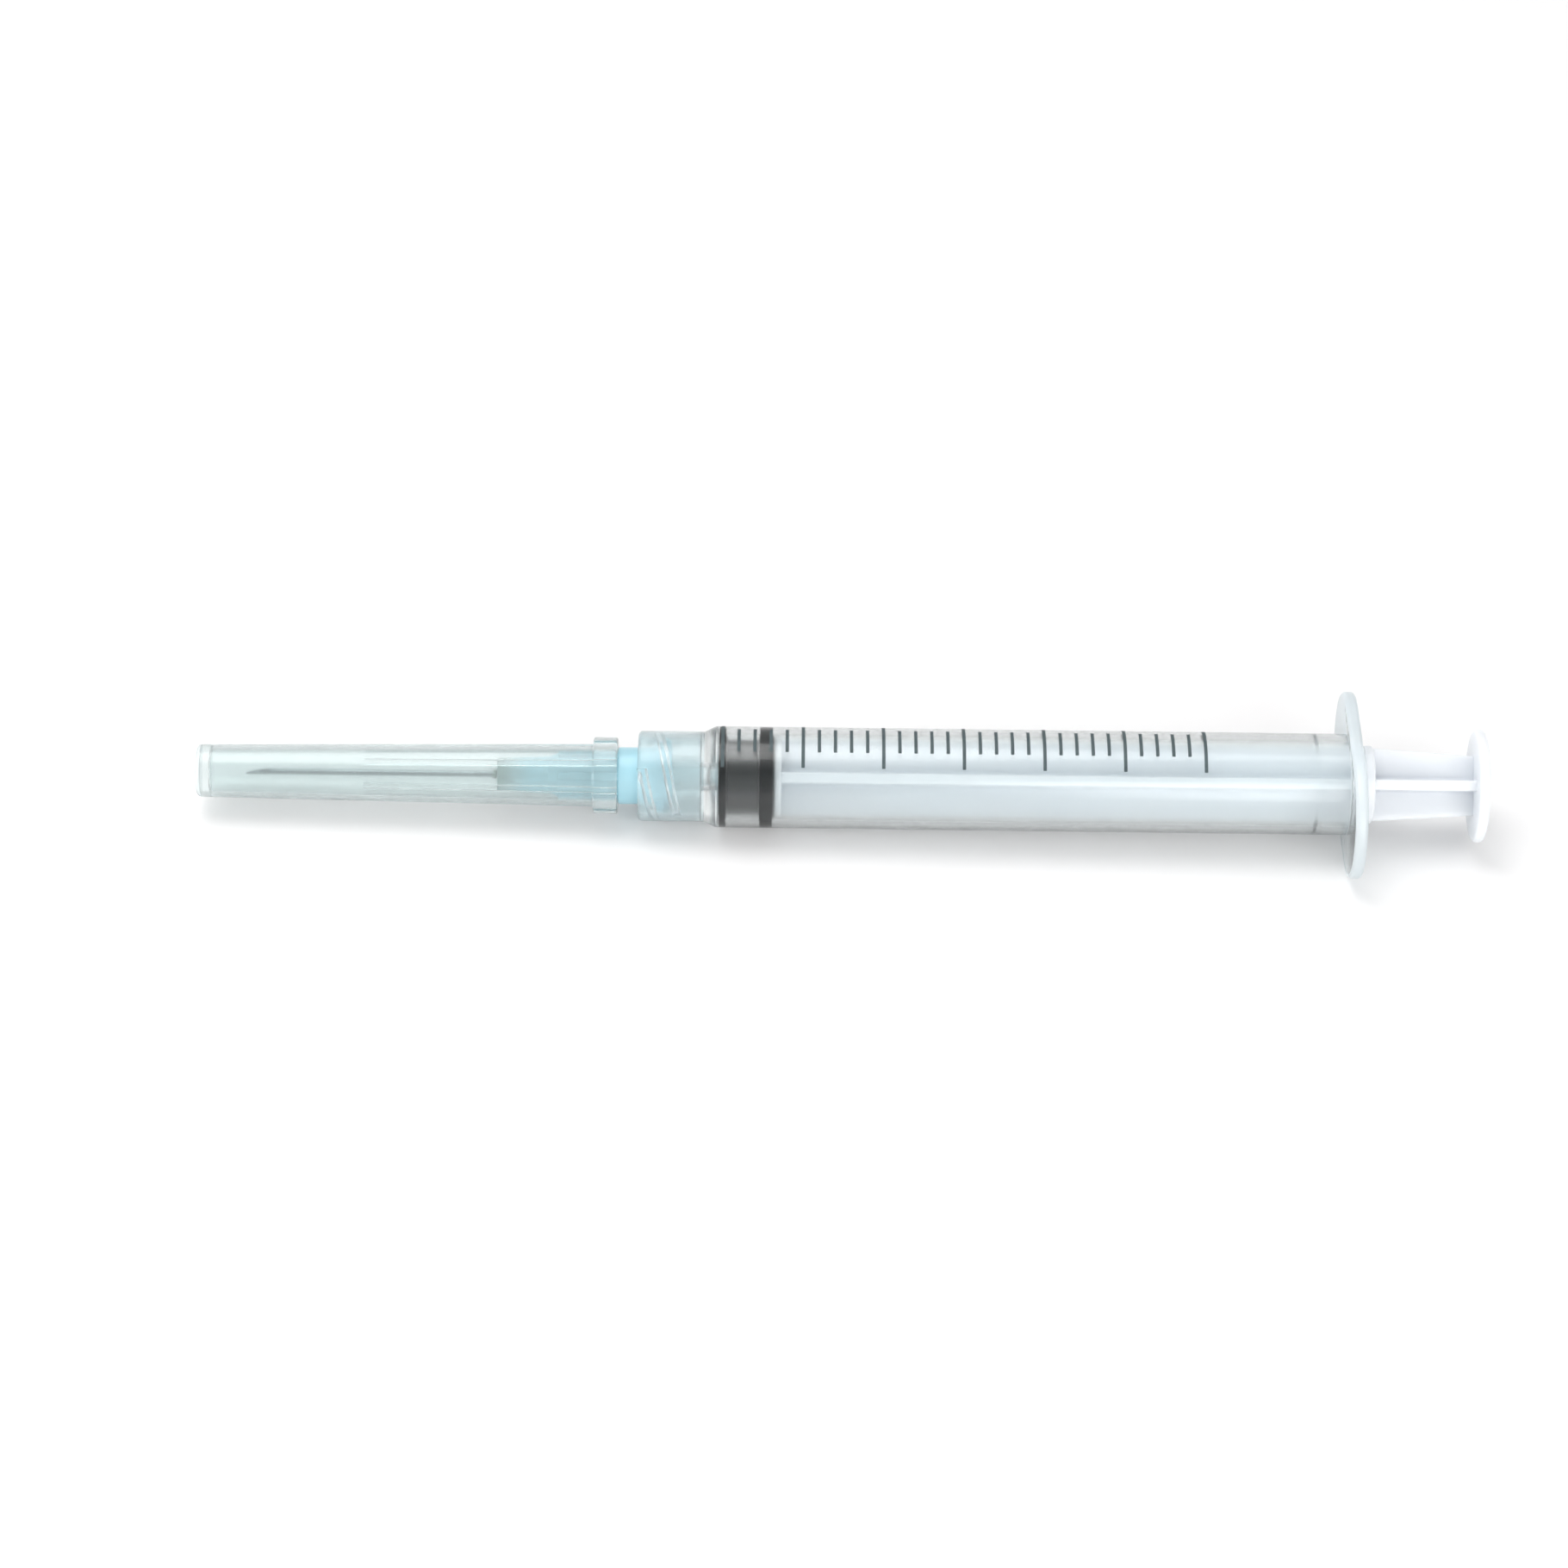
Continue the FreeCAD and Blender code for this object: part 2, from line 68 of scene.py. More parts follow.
class Plan:
    """Sizes that pieces share: radii, fits, and stations along the axis from the flange's front face."""

    BORE_RADIUS = 4.38
    BARREL_RADIUS = 5.25
    CHAMBER_END = -65.125
    SHOULDER_REAR = CHAMBER_END - 0.2
    COLLAR_FLOOR = CHAMBER_END - 1.65
    COLLAR_MOUTH = COLLAR_FLOOR - 6.6
    TIP_END = COLLAR_FLOOR - 8.7
    TIP_END_RADIUS = 1.97
    STOPPER_FRONT = CHAMBER_END + 0.05
    STOPPER_REAR = STOPPER_FRONT + 5.8
    SNAP_NECK = 1.6
    SNAP_HEAD = 2.3
    SNAP_FIT = 0.05
    HUB_BASE = COLLAR_FLOOR - 3.0
    HUB_SHOULDER = HUB_BASE - 5.7
    SHEATH_MOUTH = HUB_SHOULDER - 0.05
    SHEATH_TIP = SHEATH_MOUTH - 43.7
    SHEATH_TIP_RADIUS = 2.73
    SHEATH_MOUTH_RADIUS = 3.265
    SHEATH_WALL = 0.6
    SHEATH_RIB_HEIGHT = 0.25
    FLANGE_THICKNESS = 1.3
    FLANGE_HALF_WIDTH = 6.5
    THREAD_LEAD = 5.0
    THREAD_ROOT = 4.0
    THREAD_CREST = 3.5
    ROOT_WIDTH = 1.0
    CREST_WIDTH = 0.4
    LUER_TAPER = 0.06

    @classmethod
    def luer_radius(cls, x: float) -> float:
        """Outside radius of the male tip at a station. The taper is that of its diameter."""
        return cls.TIP_END_RADIUS + (x - cls.TIP_END) * cls.LUER_TAPER / 2

    @classmethod
    def ridge_width(cls, radius: float) -> float:
        """Width of a thread ridge at a radius."""
        share = (radius - cls.THREAD_CREST) / (cls.THREAD_ROOT - cls.THREAD_CREST)
        return cls.CREST_WIDTH + share * (cls.ROOT_WIDTH - cls.CREST_WIDTH)

    @classmethod
    def thread_roll(cls, x: float) -> float:
        """Degrees from +Z about +X at which the middle of a ridge passes a station."""
        return (x - (cls.COLLAR_MOUTH - cls.THREAD_LEAD / 2)) * 360.0 / cls.THREAD_LEAD + 180.0

    @classmethod
    def sheath_radius(cls, x: float) -> float:
        """Outside radius of the sheath's long taper at a station."""
        share = (x - cls.SHEATH_TIP) / (cls.SHEATH_MOUTH - cls.SHEATH_TIP)
        return cls.SHEATH_TIP_RADIUS + share * (cls.SHEATH_MOUTH_RADIUS - cls.SHEATH_TIP_RADIUS)

    @classmethod
    def sheath_bore(cls, x: float) -> float:
        """Inside radius of the sheath at a station."""
        return cls.sheath_radius(x) - cls.SHEATH_WALL


class Operation(Enum):
    """How a tool piece changes the body it is used on."""

    JOIN = "UNION"
    CUT = "DIFFERENCE"


class Element(Enum):
    """What is selected in edit mode."""

    VERTS = "VERT"
    EDGES = "EDGE"
    FACES = "FACE"


def linear_colour(hex_code: str) -> tuple[float, float, float, float]:
    """Turn an sRGB hex code into linear colour.

    Args:
        hex_code: Six hex digits, with or without a leading hash.

    Returns:
        Red, green, blue and an alpha of 1, all linear.
    """
    digits = hex_code.lstrip("#")
    channels = []
    for start in (0, 2, 4):
        value = int(digits[start:start + 2], 16) / 255
        channels.append(value / 12.92 if value <= 0.04045 else ((value + 0.055) / 1.055) ** 2.4)
    return (channels[0], channels[1], channels[2], 1.0)


def feed(tree: Tree, node: Node, inputs: Inputs) -> None:
    """Set a node's sockets, or link those whose value is another node's socket.

    Args:
        tree: The node tree that holds the node.
        node: The node to feed.
        inputs: Socket names or numbers, each with a constant or with an output socket.
    """
    for name, value in inputs.items():
        if isinstance(value, Socket):
            tree.links.new(value, node.inputs[name])
        else:
            node.inputs[name].default_value = value


def add_node(tree: Tree, kind: str, inputs: Inputs | None = None, **settings: object) -> Node:
    """Add one node.

    Args:
        tree: The node tree to add to.
        kind: The node's type name.
        inputs: What its sockets are set or linked to.
        settings: Properties set on the node itself.

    Returns:
        The new node.
    """
    node = tree.nodes.new(kind)
    for name, value in settings.items():
        setattr(node, name, value)
    feed(tree, node, inputs or {})
    return node


@dataclass(frozen=True)
class Corner:
    """One corner of a turned outline, in millimetres, with the radius that rounds it."""

    x: float
    radius: float
    rounding: float = 0.0


def clear_selection() -> None:
    """Leave edit mode and deselect everything, because an operator acts on all that is selected."""
    if bpy.context.object and bpy.context.object.mode != "OBJECT":
        bpy.ops.object.mode_set(mode="OBJECT")
    bpy.ops.object.select_all(action="DESELECT")


def take(piece: Piece) -> None:
    """Leave edit mode, select one piece alone and make it the active one.

    Args:
        piece: The object to work on next.
    """
    clear_selection()
    piece.select_set(True)
    bpy.context.view_layer.objects.active = piece


def pick(piece: Piece, kind: Element, wanted: Callable[[object], bool]) -> None:
    """Select vertices, edges or faces of a piece by a test.

    Args:
        piece: The piece, already in edit mode.
        kind: What is selected.
        wanted: Says whether one of them is to be selected.
    """
    bpy.ops.mesh.select_mode(type=kind.value)
    bpy.ops.mesh.select_all(action="DESELECT")
    mesh = bmesh.from_edit_mesh(piece.data)
    for element in getattr(mesh, kind.name.lower()):
        if wanted(element):
            element.select_set(True)
    mesh.select_flush_mode()
    bmesh.update_edit_mesh(piece.data)


def outline_points(corners: Sequence[Corner]) -> list[Vector]:
    """Lay out an outline in the XZ plane, with an arc at each rounded corner.

    Args:
        corners: The outline's corners in order. The ends are never rounded.

    Returns:
        Points along the outline, in millimetres.
    """
    points: list[Vector] = []
    count = len(corners)
    for i, corner in enumerate(corners):
        here = Vector((corner.x, 0.0, corner.radius))
        if corner.rounding == 0:
            points.append(here)
            continue
        before = corners[i - 1]
        after = corners[(i + 1) % count]
        back = (Vector((before.x, 0.0, before.radius)) - here).normalized()
        ahead = (Vector((after.x, 0.0, after.radius)) - here).normalized()
        half = back.angle(ahead) / 2
        reach = corner.rounding / math.tan(half)
        centre = here + (back + ahead).normalized() * (corner.rounding / math.sin(half))
        start = here + back * reach - centre
        end = here + ahead * reach - centre
        sweep = math.pi - 2 * half
        steps = max(2, math.ceil(sweep / ARC_STEP))
        for step in range(steps + 1):
            share = step / steps
            weight_start = math.sin((1 - share) * sweep) / math.sin(sweep)
            weight_end = math.sin(share * sweep) / math.sin(sweep)
            points.append(centre + start * weight_start + end * weight_end)
    return points


def draw_line(name: str, points: Sequence[Vector], closed: bool) -> Piece:
    """Draw a line by extruding one vertex from point to point.

    Args:
        name: Name of the new piece.
        points: The points in order, in millimetres.
        closed: Whether the last point joins the first.

    Returns:
        The new piece, left in edit mode.
    """
    clear_selection()
    bpy.ops.mesh.primitive_plane_add(size=0.1, location=points[0])
    bpy.ops.object.transform_apply()
    piece = bpy.context.object
    piece.name = name
    bpy.ops.object.mode_set(mode="EDIT")
    bpy.ops.mesh.select_mode(type="VERT")
    bpy.ops.mesh.select_all(action="SELECT")
    bpy.ops.mesh.merge(type="CENTER")
    for start, end in zip(points, points[1:]):
        bpy.ops.mesh.extrude_region_move(TRANSFORM_OT_translate={"value": end - start})
    if closed:
        ends = (points[0], points[-1])
        pick(piece, Element.VERTS, lambda vertex: min((vertex.co - end).length for end in ends) < WELD)
        bpy.ops.mesh.edge_face_add()
    return piece


def close_up() -> None:
    """Merge doubles on the piece in edit mode, turn its faces outward and leave edit mode."""
    bpy.ops.mesh.select_all(action="SELECT")
    bpy.ops.mesh.remove_doubles(threshold=WELD)
    bpy.ops.mesh.dissolve_degenerate(threshold=WELD / 10)
    bpy.ops.mesh.normals_make_consistent(inside=False)
    bpy.ops.object.mode_set(mode="OBJECT")


def lathe(name: str, corners: Sequence[Corner], closed: bool = True) -> Piece:
    """Turn an outline about the syringe's axis.

    Args:
        name: Name of the new piece.
        corners: The outline. An open one starts and ends on the axis.
        closed: Whether the outline is a closed ring section.

    Returns:
        The turned piece, in object mode.
    """
    piece = draw_line(name, outline_points(corners), closed)
    bpy.ops.mesh.select_all(action="SELECT")
    bpy.ops.mesh.spin(
        steps=TURNS, angle=2 * math.pi, center=(0, 0, 0), axis=(1, 0, 0), use_auto_merge=True
    )
    close_up()
    return piece


def lathe_disc(
    name: str, front: float, rear: float, radius: float, roundings: Sequence[float] = (0.0, 0.0)
) -> Piece:
    """Turn a solid disc about the syringe's axis.

    Args:
        name: Name of the new piece.
        front: Station of its front face.
        rear: Station of its rear face.
        radius: Its radius.
        roundings: Radii that round its front rim and its rear rim.

    Returns:
        The disc, in object mode.
    """
    return lathe(name, [
        Corner(front, 0.0), Corner(front, radius, roundings[0]),
        Corner(rear, radius, roundings[1]), Corner(rear, 0.0),
    ], closed=False)


def helix(
    name: str, start: float, root: Sequence[float], crest: Sequence[float], turns: float, roll: float
) -> Piece:
    """Screw a section round the axis with the thread's lead, close its ends and roll it into place.

    Args:
        name: Name of the new piece.
        start: Station of the section's middle.
        root: Radius and width of the section where it is sunk into its carrier.
        crest: Radius and width of the section at its free side.
        turns: How far round it goes.
        roll: Where it starts, in degrees about +X from +Z.

    Returns:
        The closed helix, in object mode.
    """
    section = [
        Vector((start + side * width / 2, 0, radius))
        for side, (radius, width) in ((-1, root), (-1, crest), (1, crest), (1, root))
    ]
    piece = draw_line(name, section, True)
    take(piece)
    screw = piece.modifiers.new("screw", "SCREW")
    screw.axis = "X"
    screw.angle = 2 * math.pi * turns
    screw.screw_offset = Plan.THREAD_LEAD * turns
    screw.steps = int(TURNS * turns)
    screw.render_steps = screw.steps
    screw.use_merge_vertices = False
    bpy.ops.object.modifier_apply(modifier=screw.name)
    bpy.ops.object.mode_set(mode="EDIT")
    bpy.ops.mesh.select_all(action="SELECT")
    bpy.ops.mesh.fill_holes(sides=0)
    close_up()
    roll_by(piece, roll)
    return piece


def runs_along(edge: bmesh.types.BMEdge) -> bool:
    """Say whether an edge is a long one that follows the axis."""
    return abs(edge.verts[0].co.x - edge.verts[1].co.x) > LONG_EDGE


def block(name: str, low: Sequence[float], high: Sequence[float]) -> Piece:
    """Add a box between two corners, as the start of a piece or a cutting tool.

    Args:
        name: Name of the new piece.
        low: Its lowest corner, in millimetres.
        high: Its highest corner, in millimetres.

    Returns:
        The box, in object mode, with its place in its mesh.
    """
    clear_selection()
    middle = (Vector(low) + Vector(high)) / 2
    bpy.ops.mesh.primitive_cube_add(size=1, location=middle)
    piece = bpy.context.object
    piece.name = name
    piece.scale = Vector(high) - Vector(low)
    bpy.ops.object.transform_apply()
    return piece


def roll_by(piece: Piece, degrees: float) -> None:
    """Turn a piece about the syringe's axis and keep the turn in its mesh.

    Args:
        piece: The piece to turn.
        degrees: Right-hand turn about +X.
    """
    take(piece)
    piece.rotation_euler = (math.radians(degrees), 0.0, 0.0)
    bpy.ops.object.transform_apply()


def copy_of(piece: Piece) -> Piece:
    """Copy a piece.

    Args:
        piece: The piece to copy.

    Returns:
        The copy, with a mesh of its own.
    """
    twin = piece.copy()
    twin.data = piece.data.copy()
    bpy.context.collection.objects.link(twin)
    return twin


def ring_of(piece: Piece, count: int) -> list[Piece]:
    """Repeat a piece evenly round the axis.

    Args:
        piece: The piece that is modelled once.
        count: How many there are in all.

    Returns:
        The piece and its turned copies.
    """
    pieces = [piece]
    for i in range(1, count):
        twin = copy_of(piece)
        roll_by(twin, 360.0 * i / count)
        pieces.append(twin)
    return pieces


def combine(body: Piece, tools: Iterable[Piece], how: Operation) -> None:
    """Join or cut a body with other pieces, which are used up.

    Args:
        body: The piece that is changed.
        tools: The pieces that are joined to it or cut from it.
        how: What is done with each tool.
    """
    for tool in tools:
        take(body)
        modifier = body.modifiers.new("combine", "BOOLEAN")
        modifier.operation = how.value
        modifier.solver = "EXACT"
        modifier.object = tool
        bpy.ops.object.modifier_apply(modifier=modifier.name)
        bpy.data.objects.remove(tool)


def hand_over(piece: Piece, body: str, node: str, slot: str, *finishes: "Finish") -> None:
    """Bring a piece to metres, smooth it, give it its finishes and hand it to the frame.

    Args:
        piece: The finished piece, still in millimetres.
        body: The body that it rides on.
        node: The solid that it stands for.
        slot: The record's material slot; not used.
        finishes: Its finishes, in the order that its faces number them.
    """
    for finish in finishes:
        piece.data.materials.append(finish.make())
    take(piece)
    piece.scale = (MM, MM, MM)
    bpy.ops.object.transform_apply()
    bpy.ops.object.shade_smooth_by_angle(angle=SMOOTH_ANGLE)
    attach(piece, body)
    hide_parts(node)
    log.info("%s stands for %s on %s: %d faces", piece.name, node, body, len(piece.data.polygons))


@dataclass(frozen=True)
class Finish:
    """What every finish shares: two near colours in soft patches, and a shallow relief of fine grain."""

    SOCKETS: ClassVar[Inputs] = {}
    name: str
    colour: str
    second_colour: str
    roughness: float
    patch_mm: float = 1.0
    patch_stretch: float = 1.0
    grain_mm: float = 1.0
    grain_stretch: float = 1.0
    grain_detail: float = 3.0
    grain_depth_mm: float = 0.0

    def make(self) -> Material:
        """Build the material.

        Returns:
            The material, with its shader fed as this kind of finish says.
        """
        material = bpy.data.materials.new(self.name)
        material.use_nodes = True
        tree = material.node_tree
        feed(tree, tree.nodes["Principled BSDF"], self.inputs(tree))
        return material

    def inputs(self, tree: Tree) -> Inputs:
        """Say what the shader's sockets get. SOCKETS holds what is fixed for one kind of finish.

        Args:
            tree: The material's node tree.

        Returns:
            Socket names with their values.
        """
        fed = {"Base Color": self.shade(tree), "Roughness": self.roughness, **self.SOCKETS}
        if self.grain_depth_mm:
            grain = self.pattern(tree, self.grain_mm, self.grain_stretch, self.grain_detail)
            bump = add_node(tree, "ShaderNodeBump", {"Height": grain, "Distance": self.grain_depth_mm * MM})
            fed["Normal"] = bump.outputs["Normal"]
        return fed

    def pattern(self, tree: Tree, size_mm: float, stretch: float, detail: float = 3.0) -> Socket:
        """Add noise of a real size on the piece's own coordinates.

        Args:
            tree: The material's node tree.
            size_mm: Size of one patch of the pattern, in millimetres.
            stretch: How many times longer the patches are along X.
            detail: How many finer layers the noise has.

        Returns:
            The noise's factor socket.
        """
        place = add_node(tree, "ShaderNodeTexCoord")
        scale = tuple(1.0 / (size_mm * MM * along) for along in (stretch, 1.0, 1.0))
        mapping = add_node(tree, "ShaderNodeMapping", {"Vector": place.outputs["Object"], "Scale": scale})
        noise = add_node(tree, "ShaderNodeTexNoise", {
            "Vector": mapping.outputs["Vector"], "Scale": 1.0, "Detail": detail,
        })
        return noise.outputs["Fac"]

    def shade(self, tree: Tree) -> Socket:
        """Vary the finish between its two colours.

        Args:
            tree: The material's node tree.

        Returns:
            The mixed colour's socket.
        """
        patches = self.pattern(tree, self.patch_mm, self.patch_stretch)
        ramp = add_node(tree, "ShaderNodeValToRGB", {"Fac": patches})
        stops = zip(ramp.color_ramp.elements, (0.3, 0.7), (self.colour, self.second_colour))
        for stop, position, colour in stops:
            stop.position = position
            stop.color = linear_colour(colour)
        return ramp.outputs["Color"]


@dataclass(frozen=True)
class ClearMoulding(Finish):
    """Injection-moulded clear plastic: see-through but hazy, paler and milkier where its wall is thick.

    Its patches and grain are faint flow marks along the moulding.
    """

    patch_mm: float = 6.0
    patch_stretch: float = 6.0
    grain_mm: float = 2.0
    grain_stretch: float = 8.0
    grain_detail: float = 1.0
    grain_depth_mm: float = 0.0005
    index: float = PLASTIC_INDEX
    clearness: float = 1.0
    shadow_tint: str = "#a0a7a9"
    grazed_tint: str = "#262b2e"
    thin_tint: str = ""
    thin_from_mm: float = 0.0
    thin_to_mm: float = 0.0
    thin_clearness: float = 0.88

    def make(self) -> Material:
        """Build the material, and let the lamps' light through it.

        Light passes well through a wall that it meets square, and hardly where it grazes.

        Returns:
            The material.
        """
        material = super().make()
        tree = material.node_tree
        path = add_node(tree, "ShaderNodeLightPath")
        turned = add_node(tree, "ShaderNodeLayerWeight", {"Blend": 0.5})
        passed = add_node(tree, "ShaderNodeMix", {
            "Factor": turned.outputs["Facing"],
            6: linear_colour(self.shadow_tint), 7: linear_colour(self.grazed_tint),
        }, data_type="RGBA")
        clear = add_node(tree, "ShaderNodeBsdfTransparent", {"Color": passed.outputs[2]})
        mix = add_node(tree, "ShaderNodeMixShader", {
            0: path.outputs["Is Shadow Ray"],
            1: tree.nodes["Principled BSDF"].outputs["BSDF"], 2: clear.outputs["BSDF"],
        })
        feed(tree, tree.nodes["Material Output"], {"Surface": mix.outputs["Shader"]})
        return material

    def inputs(self, tree: Tree) -> Inputs:
        """Let the wall transmit light, and more of it where it thins.

        Args:
            tree: The material's node tree.

        Returns:
            Socket names with their values.
        """
        fed = super().inputs(tree) | {"IOR": self.index, "Transmission Weight": self.clearness}
        if self.thin_tint:
            fed |= self.thinned(tree, fed["Base Color"])
        return fed

    def thinned(self, tree: Tree, colour: Socket) -> Inputs:
        """Make a moulding that thins along X paler and clearer there.

        Args:
            tree: The material's node tree.
            colour: The colour where it is thick.

        Returns:
            The colour and the transmission that the shader gets instead.
        """
        place = add_node(tree, "ShaderNodeTexCoord")
        along = add_node(tree, "ShaderNodeSeparateXYZ", {"Vector": place.outputs["Object"]})
        thin = add_node(tree, "ShaderNodeMapRange", {
            "Value": along.outputs["X"], "From Min": self.thin_from_mm * MM, "From Max": self.thin_to_mm * MM,
        }, interpolation_type="SMOOTHSTEP").outputs["Result"]
        paler = add_node(tree, "ShaderNodeMix", {
            "Factor": thin, 6: colour, 7: linear_colour(self.thin_tint),
        }, data_type="RGBA")
        clearer = add_node(tree, "ShaderNodeMapRange", {
            "Value": thin, "To Min": self.clearness, "To Max": self.thin_clearness,
        })
        return {"Base Color": paler.outputs[2], "Transmission Weight": clearer.outputs["Result"]}


@dataclass(frozen=True)
class MilkyMoulding(Finish):
    """Milky polypropylene, moulded: light sinks in and glows back, so edges look bright and soft.

    It has faint flow marks and a fine moulded grain.
    """

    SOCKETS: ClassVar[Inputs] = {
        "IOR": PLASTIC_INDEX,
        "Subsurface Weight": 1.0, "Subsurface Radius": (1.0, 1.0, 1.0), "Subsurface Scale": 2.5 * MM,
    }
    roughness: float = 0.32
    patch_mm: float = 5.0
    patch_stretch: float = 4.0
    grain_mm: float = 0.5
    grain_depth_mm: float = 0.002


@dataclass(frozen=True)
class MouldedRubber(Finish):
    """Halobutyl rubber, press-moulded and siliconed: near black, with a soft and weak highlight."""

    SOCKETS: ClassVar[Inputs] = {"IOR": 1.52, "Specular IOR Level": 0.12}
    roughness: float = 0.3
    patch_mm: float = 1.5
    grain_mm: float = 0.12
    grain_depth_mm: float = 0.003


@dataclass(frozen=True)
class DrawnSteel(Finish):
    """Stainless tube, drawn and polished: a bright line with faint marks along its length."""

    SOCKETS: ClassVar[Inputs] = {"Metallic": 1.0}
    roughness: float = 0.25
    patch_mm: float = 0.05
    patch_stretch: float = 60.0
    grain_mm: float = 0.05
    grain_stretch: float = 60.0
    grain_depth_mm: float = 0.0005


@dataclass(frozen=True)
class PadPrintedInk(Finish):
    """Pad-printed ink: a matt dark film, a little paler here and there."""

    roughness: float = 0.6
    patch_mm: float = 0.4


@dataclass(frozen=True)
class BackdropPaper(Finish):
    """Matt backdrop paper: near white where it is seen, even through the syringe, soft grey in shadow."""

    roughness: float = 0.9
    patch_mm: float = 40.0
    lift: float = 0.1

    def inputs(self, tree: Tree) -> Inputs:
        """Lift the white where it is seen, which throws no extra light on the syringe.

        Args:
            tree: The material's node tree.

        Returns:
            Socket names with their values.
        """
        path = add_node(tree, "ShaderNodeLightPath")
        seen = path.outputs["Is Camera Ray"]
        for ray in ("Is Transmission Ray", "Is Glossy Ray"):
            either = add_node(tree, "ShaderNodeMath", {0: seen, 1: path.outputs[ray]}, operation="MAXIMUM")
            seen = either.outputs["Value"]
        lifted = add_node(tree, "ShaderNodeMath", {0: seen, 1: self.lift}, operation="MULTIPLY")
        return super().inputs(tree) | {
            "Specular IOR Level": 0.0,
            "Emission Color": (1, 1, 1, 1), "Emission Strength": lifted.outputs["Value"],
        }


@dataclass
class Barrel:
    """The clear barrel with its wings, screw collar and male tip, and the scale printed on it."""

    shoulder_front: float = Plan.SHOULDER_REAR - 1.2
    collar_radius: float = 4.675
    tip_bore: float = 1.0
    nozzle_dip: float = 0.2
    mouth_flare: float = 0.35
    mouth_flare_depth: float = 0.7
    bead: float = -3.0
    bead_half: float = 0.45
    bead_height: float = 0.12
    half_span: float = 11.5
    flange_bevel: float = 0.42
    thread_start: float = Plan.COLLAR_MOUTH + 0.55
    thread_turns: float = 0.72
    ridges: int = 2
    sunk: float = 0.2
    marks: int = 31
    marks_per_long_mark: int = 5
    zero_mark: float = -64.606
    mark_pitch: float = 1.6592
    mark_width: float = 0.35
    short_mark: float = 20.0
    long_mark: float = 39.0
    ink_gap: float = 0.003
    ink: float = 0.025
    ink_finish: PadPrintedInk = PadPrintedInk("scale_ink_pad_printed", "#39464a", "#4a585b")
    # The thin wall looks like clear plastic, and the rod and stopper show well through it.
    finish: ClearMoulding = ClearMoulding(
        "clear_polypropylene_moulded", "#f7fbfb", "#fafdfd", 0.2, shadow_tint="#e2e8ea", clearness=0.985
    )
    # The flange is solid, so it looks milky and almost white.
    flange_finish: ClearMoulding = ClearMoulding(
        "clear_polypropylene_thick_flange", "#e2ebef", "#e8f0f3", 0.3, clearness=0.35
    )
    # The collar takes on the hub's blue, a little veiled by its thicker wall.
    collar_finish: ClearMoulding = ClearMoulding(
        "clear_polypropylene_thick_collar", "#e6f3f6", "#ecf8fa", 0.22, clearness=0.84
    )

    def tube(self) -> Piece:
        """Turn the barrel, collar and tip in one section.

        Returns:
            The turned moulding without wings or thread.
        """
        rear = Plan.FLANGE_THICKNESS
        bore = Plan.BORE_RADIUS
        return lathe("barrel_moulding", [
            Corner(Plan.TIP_END, self.tip_bore),
            Corner(Plan.TIP_END, Plan.TIP_END_RADIUS, 0.25),
            Corner(Plan.COLLAR_FLOOR, Plan.luer_radius(Plan.COLLAR_FLOOR), 0.2),
            Corner(Plan.COLLAR_FLOOR, Plan.THREAD_ROOT, 0.2),
            Corner(Plan.COLLAR_MOUTH, Plan.THREAD_ROOT, 0.12),
            Corner(Plan.COLLAR_MOUTH, self.collar_radius, 0.45),
            Corner(self.shoulder_front, self.collar_radius, 0.25),
            Corner(Plan.SHOULDER_REAR, Plan.BARREL_RADIUS, 0.25),
            Corner(rear, Plan.BARREL_RADIUS),
            Corner(rear, bore + self.mouth_flare, 0.08),
            Corner(rear - self.mouth_flare_depth, bore, 0.2),
            Corner(self.bead + self.bead_half, bore, 0.3),
            Corner(self.bead, bore - self.bead_height, 0.3),
            Corner(self.bead - self.bead_half, bore, 0.3),
            Corner(Plan.CHAMBER_END, bore, 0.2),
            Corner(Plan.CHAMBER_END - self.nozzle_dip, self.tip_bore, 0.1),
        ])

    def wings(self) -> Piece:
        """Model the finger flange as a stadium plate with rounded edges.

        Returns:
            The plate, with a hole that the tube fills.
        """
        clear_selection()
        bpy.ops.mesh.primitive_cylinder_add(
            vertices=TURNS, radius=Plan.FLANGE_HALF_WIDTH, depth=Plan.FLANGE_THICKNESS,
            location=(Plan.FLANGE_THICKNESS / 2, 0, 0), rotation=(0, math.pi / 2, 0),
        )
        bpy.ops.object.transform_apply()
        plate = bpy.context.object
        plate.name = "wings"
        bpy.ops.object.mode_set(mode="EDIT")
        shift = self.half_span - Plan.FLANGE_HALF_WIDTH
        for side in (1, -1):
            pick(plate, Element.VERTS, lambda vertex: vertex.co.y * side > NEAR)
            bpy.ops.transform.translate(value=(0, side * shift, 0))
        pick(plate, Element.EDGES, lambda edge: len({round(v.co.x, 3) for v in edge.verts}) == 1)
        bpy.ops.mesh.bevel(offset=self.flange_bevel, segments=5, affect="EDGES")
        close_up()
        in_the_wall = Plan.BORE_RADIUS + 0.5
        beyond = 1.0
        hole = lathe_disc("hole", -beyond, Plan.FLANGE_THICKNESS + beyond, in_the_wall)
        combine(plate, [hole], Operation.CUT)
        return plate

    def ridge(self) -> Piece:
        """Screw one thread ridge of the collar.

        Returns:
            The ridge, sunk into the collar's wall.
        """
        root = Plan.THREAD_ROOT + self.sunk
        return helix(
            "thread_ridge", self.thread_start, (root, Plan.ridge_width(root)),
            (Plan.THREAD_CREST, Plan.ridge_width(Plan.THREAD_CREST)),
            self.thread_turns, Plan.thread_roll(self.thread_start),
        )

